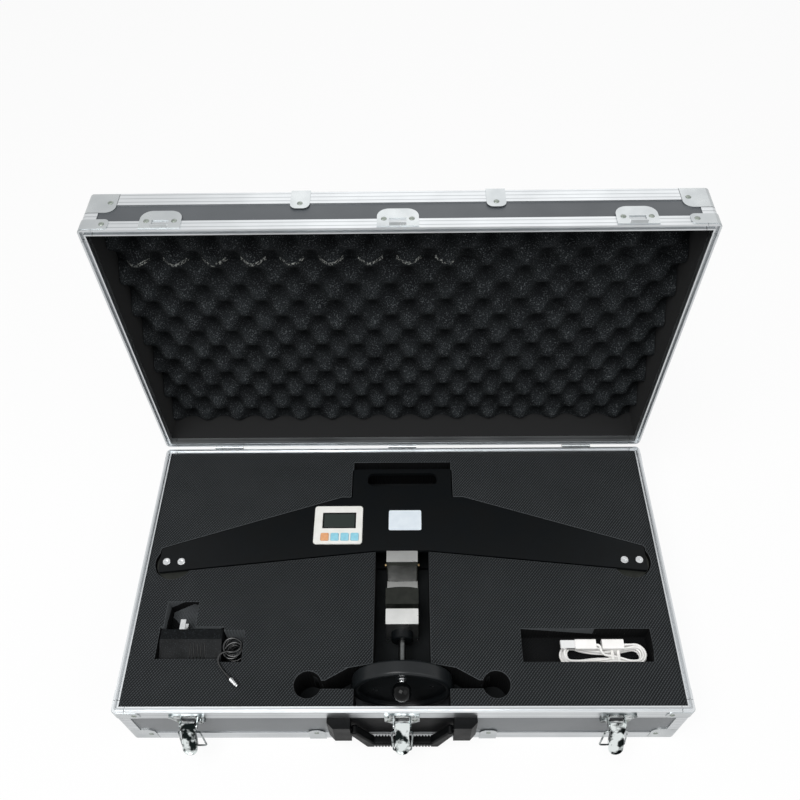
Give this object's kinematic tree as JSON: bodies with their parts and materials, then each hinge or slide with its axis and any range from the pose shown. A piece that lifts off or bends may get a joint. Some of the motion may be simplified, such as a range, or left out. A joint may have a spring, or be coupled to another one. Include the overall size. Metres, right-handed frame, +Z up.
{
  "type": "rope tension tester in a carrying case",
  "caption": "Hand-cranked rope tension tester with display, lying in a fitted aluminium-edged case with hinged lid, latches, adapter and data cable.",
  "frame": {"origin": "middle of the case's underside", "axes": "+X along the case's length to its right end, -Y to the latch side, +Z up"},
  "size_m": [0.6416, 0.4537, 0.4597],
  "materials": {
    "panel": "fine textured black laminate on plywood",
    "trim": "anodised ridged extrusion",
    "hardware": "bright nickel plated sheet",
    "foam": "dark grey closed-cell foam",
    "egg_foam": "dark grey open-cell foam",
    "tester_black": "satin black powder coat",
    "tester_steel": "machined steel",
    "tester_alloy": "machined aluminium",
    "black_plastic": "moulded black plastic",
    "black_gloss": "glossy black plastic",
    "bezel": "pale grey moulding",
    "screen": "reflective liquid crystal window",
    "board": "green circuit board",
    "button_orange": "soft matt key",
    "button_blue": "soft matt key",
    "battery": "wrapped metal can",
    "brass": "plated brass",
    "cord": "glossy black sheath",
    "white_cord": "white sheath",
    "plug_metal": "bright plated barrel"
  },
  "bodies": {
    "case_base": {"base_shell": "panel", "base_rim": "trim", "base_rails": "trim", "base_corner_caps": "hardware", "base_clips": "hardware", "foam_bottom": "foam", "foam_top": "foam", "hinge_base_leaves": "hardware", "hinge_pins": "hardware", "handle_mount": "black_plastic", "latch_plates": "hardware", "lock_collars": "hardware"},
    "case_lid": {"lid_shell": "panel", "lid_rim": "trim", "lid_rails": "trim", "lid_corner_caps": "hardware", "lid_clips": "hardware", "lid_foam_sheet": "egg_foam", "lid_foam_strip": "egg_foam", "catch_plates": "hardware", "hinge_lid_leaves": "hardware"},
    "handle": {"handle_grip": "black_plastic"},
    "lever_left": {"latch_lever_left": "hardware"},
    "lever_center": {"latch_lever_center": "hardware"},
    "lever_right": {"latch_lever_right": "hardware"},
    "bail_left": {"latch_bail_left": "hardware"},
    "bail_center": {"latch_bail_center": "hardware"},
    "bail_right": {"latch_bail_right": "hardware"},
    "lock_left": {"lock_plug_left": "hardware"},
    "lock_right": {"lock_plug_right": "hardware"},
    "tester": {"tester_front_plate": "tester_black", "tester_rear_plate": "tester_black", "plate_spacers": "tester_steel", "end_sheaves": "tester_black", "plate_screws": "hardware", "c_frame": "tester_alloy", "fixed_jaw": "tester_steel", "load_cell": "tester_alloy", "thrust_cap": "tester_steel", "display_bezel": "bezel", "display_screen": "screen", "circuit_board": "board", "battery": "battery"},
    "jaw": {"moving_jaw": "tester_black"},
    "wheel": {"screw_spindle": "tester_steel", "handwheel": "tester_black", "knob_stud": "tester_steel"},
    "knob": {"crank_knob": "black_gloss"},
    "key_power": {"button_power": "button_orange"},
    "key_unit": {"button_unit": "button_blue"},
    "key_zero": {"button_zero": "button_blue"},
    "key_hold": {"button_hold": "button_blue"},
    "adapter": {"adapter_body": "black_plastic", "adapter_prongs": "brass", "adapter_lead_coil": "cord", "adapter_lead": "cord", "lead_plug": "plug_metal"},
    "data_cable": {"data_cable_hank": "white_cord", "data_cable_plugs": "white_cord"}
  },
  "joints": [
    {"name": "lid_hinge", "type": "hinge", "parent": "case_base", "child": "case_lid", "pos_m": [0, 0.182, 0.0925], "axis": [1, 0, 0], "range_deg": [0, 90]},
    {"name": "handle_swing", "type": "hinge", "parent": "case_base", "child": "handle", "pos_m": [0, -0.1872, 0.054], "axis": [-1, 0, 0], "range_deg": [0, 90]},
    {"name": "lever_left_swing", "type": "hinge", "parent": "case_base", "child": "lever_left", "pos_m": [-0.238, -0.188, 0.07], "axis": [-1, 0, 0], "range_deg": [-20, 86]},
    {"name": "bail_left_swing", "type": "hinge", "parent": "lever_left", "child": "bail_left", "pos_m": [-0.238, -0.19191, 0.0642], "axis": [-1, 0, 0], "range_deg": [0, 90]},
    {"name": "lever_center_swing", "type": "hinge", "parent": "case_base", "child": "lever_center", "pos_m": [0, -0.188, 0.07], "axis": [-1, 0, 0], "range_deg": [-20, 86]},
    {"name": "bail_center_swing", "type": "hinge", "parent": "lever_center", "child": "bail_center", "pos_m": [0, -0.19191, 0.0642], "axis": [-1, 0, 0], "range_deg": [0, 80]},
    {"name": "lever_right_swing", "type": "hinge", "parent": "case_base", "child": "lever_right", "pos_m": [0.238, -0.188, 0.07], "axis": [-1, 0, 0], "range_deg": [-20, 86]},
    {"name": "bail_right_swing", "type": "hinge", "parent": "lever_right", "child": "bail_right", "pos_m": [0.238, -0.19191, 0.0642], "axis": [-1, 0, 0], "range_deg": [0, 90]},
    {"name": "lock_left_turn", "type": "hinge", "parent": "case_base", "child": "lock_left", "pos_m": [-0.223, -0.1829, 0.074], "axis": [0, -1, 0], "range_deg": [0, 90]},
    {"name": "lock_right_turn", "type": "hinge", "parent": "case_base", "child": "lock_right", "pos_m": [0.223, -0.1829, 0.074], "axis": [0, -1, 0], "range_deg": [0, 90]},
    {"name": "tester_lift", "type": "slide", "parent": "case_base", "child": "tester", "axis": [0, 0, -1], "range_m": [-0.3, 0]},
    {"name": "adapter_lift", "type": "slide", "parent": "case_base", "child": "adapter", "axis": [0, 0, -1], "range_m": [-0.2, 0]},
    {"name": "data_cable_lift", "type": "slide", "parent": "case_base", "child": "data_cable", "axis": [0, 0, -1], "range_m": [-0.2, 0]},
    {"name": "wheel_spin", "type": "hinge", "parent": "tester", "child": "wheel", "pos_m": [0, -0.14, 0.064], "axis": [0, -1, 0], "range_deg": [0, 3600]},
    {"name": "jaw_slide", "type": "slide", "parent": "tester", "child": "jaw", "axis": [0, 1, 0], "range_m": [0, 0.02]},
    {"name": "knob_spin", "type": "hinge", "parent": "wheel", "child": "knob", "pos_m": [0, -0.16135, 0.104], "axis": [0, -1, 0], "continuous": true},
    {"name": "key_power_press", "type": "slide", "parent": "tester", "child": "key_power", "axis": [0, 0, -1], "range_m": [0, 0.0008], "stiffness_N_per_m": 300, "springref_m": -0.0005},
    {"name": "key_unit_press", "type": "slide", "parent": "tester", "child": "key_unit", "axis": [0, 0, -1], "range_m": [0, 0.0008], "stiffness_N_per_m": 300, "springref_m": -0.0005},
    {"name": "key_zero_press", "type": "slide", "parent": "tester", "child": "key_zero", "axis": [0, 0, -1], "range_m": [0, 0.0008], "stiffness_N_per_m": 300, "springref_m": -0.0005},
    {"name": "key_hold_press", "type": "slide", "parent": "tester", "child": "key_hold", "axis": [0, 0, -1], "range_m": [0, 0.0008], "stiffness_N_per_m": 300, "springref_m": -0.0005}
  ],
  "couplings": [
    {"joint": "jaw_slide", "follows": "wheel_spin", "m_per_rad": 0.00031831}
  ]
}
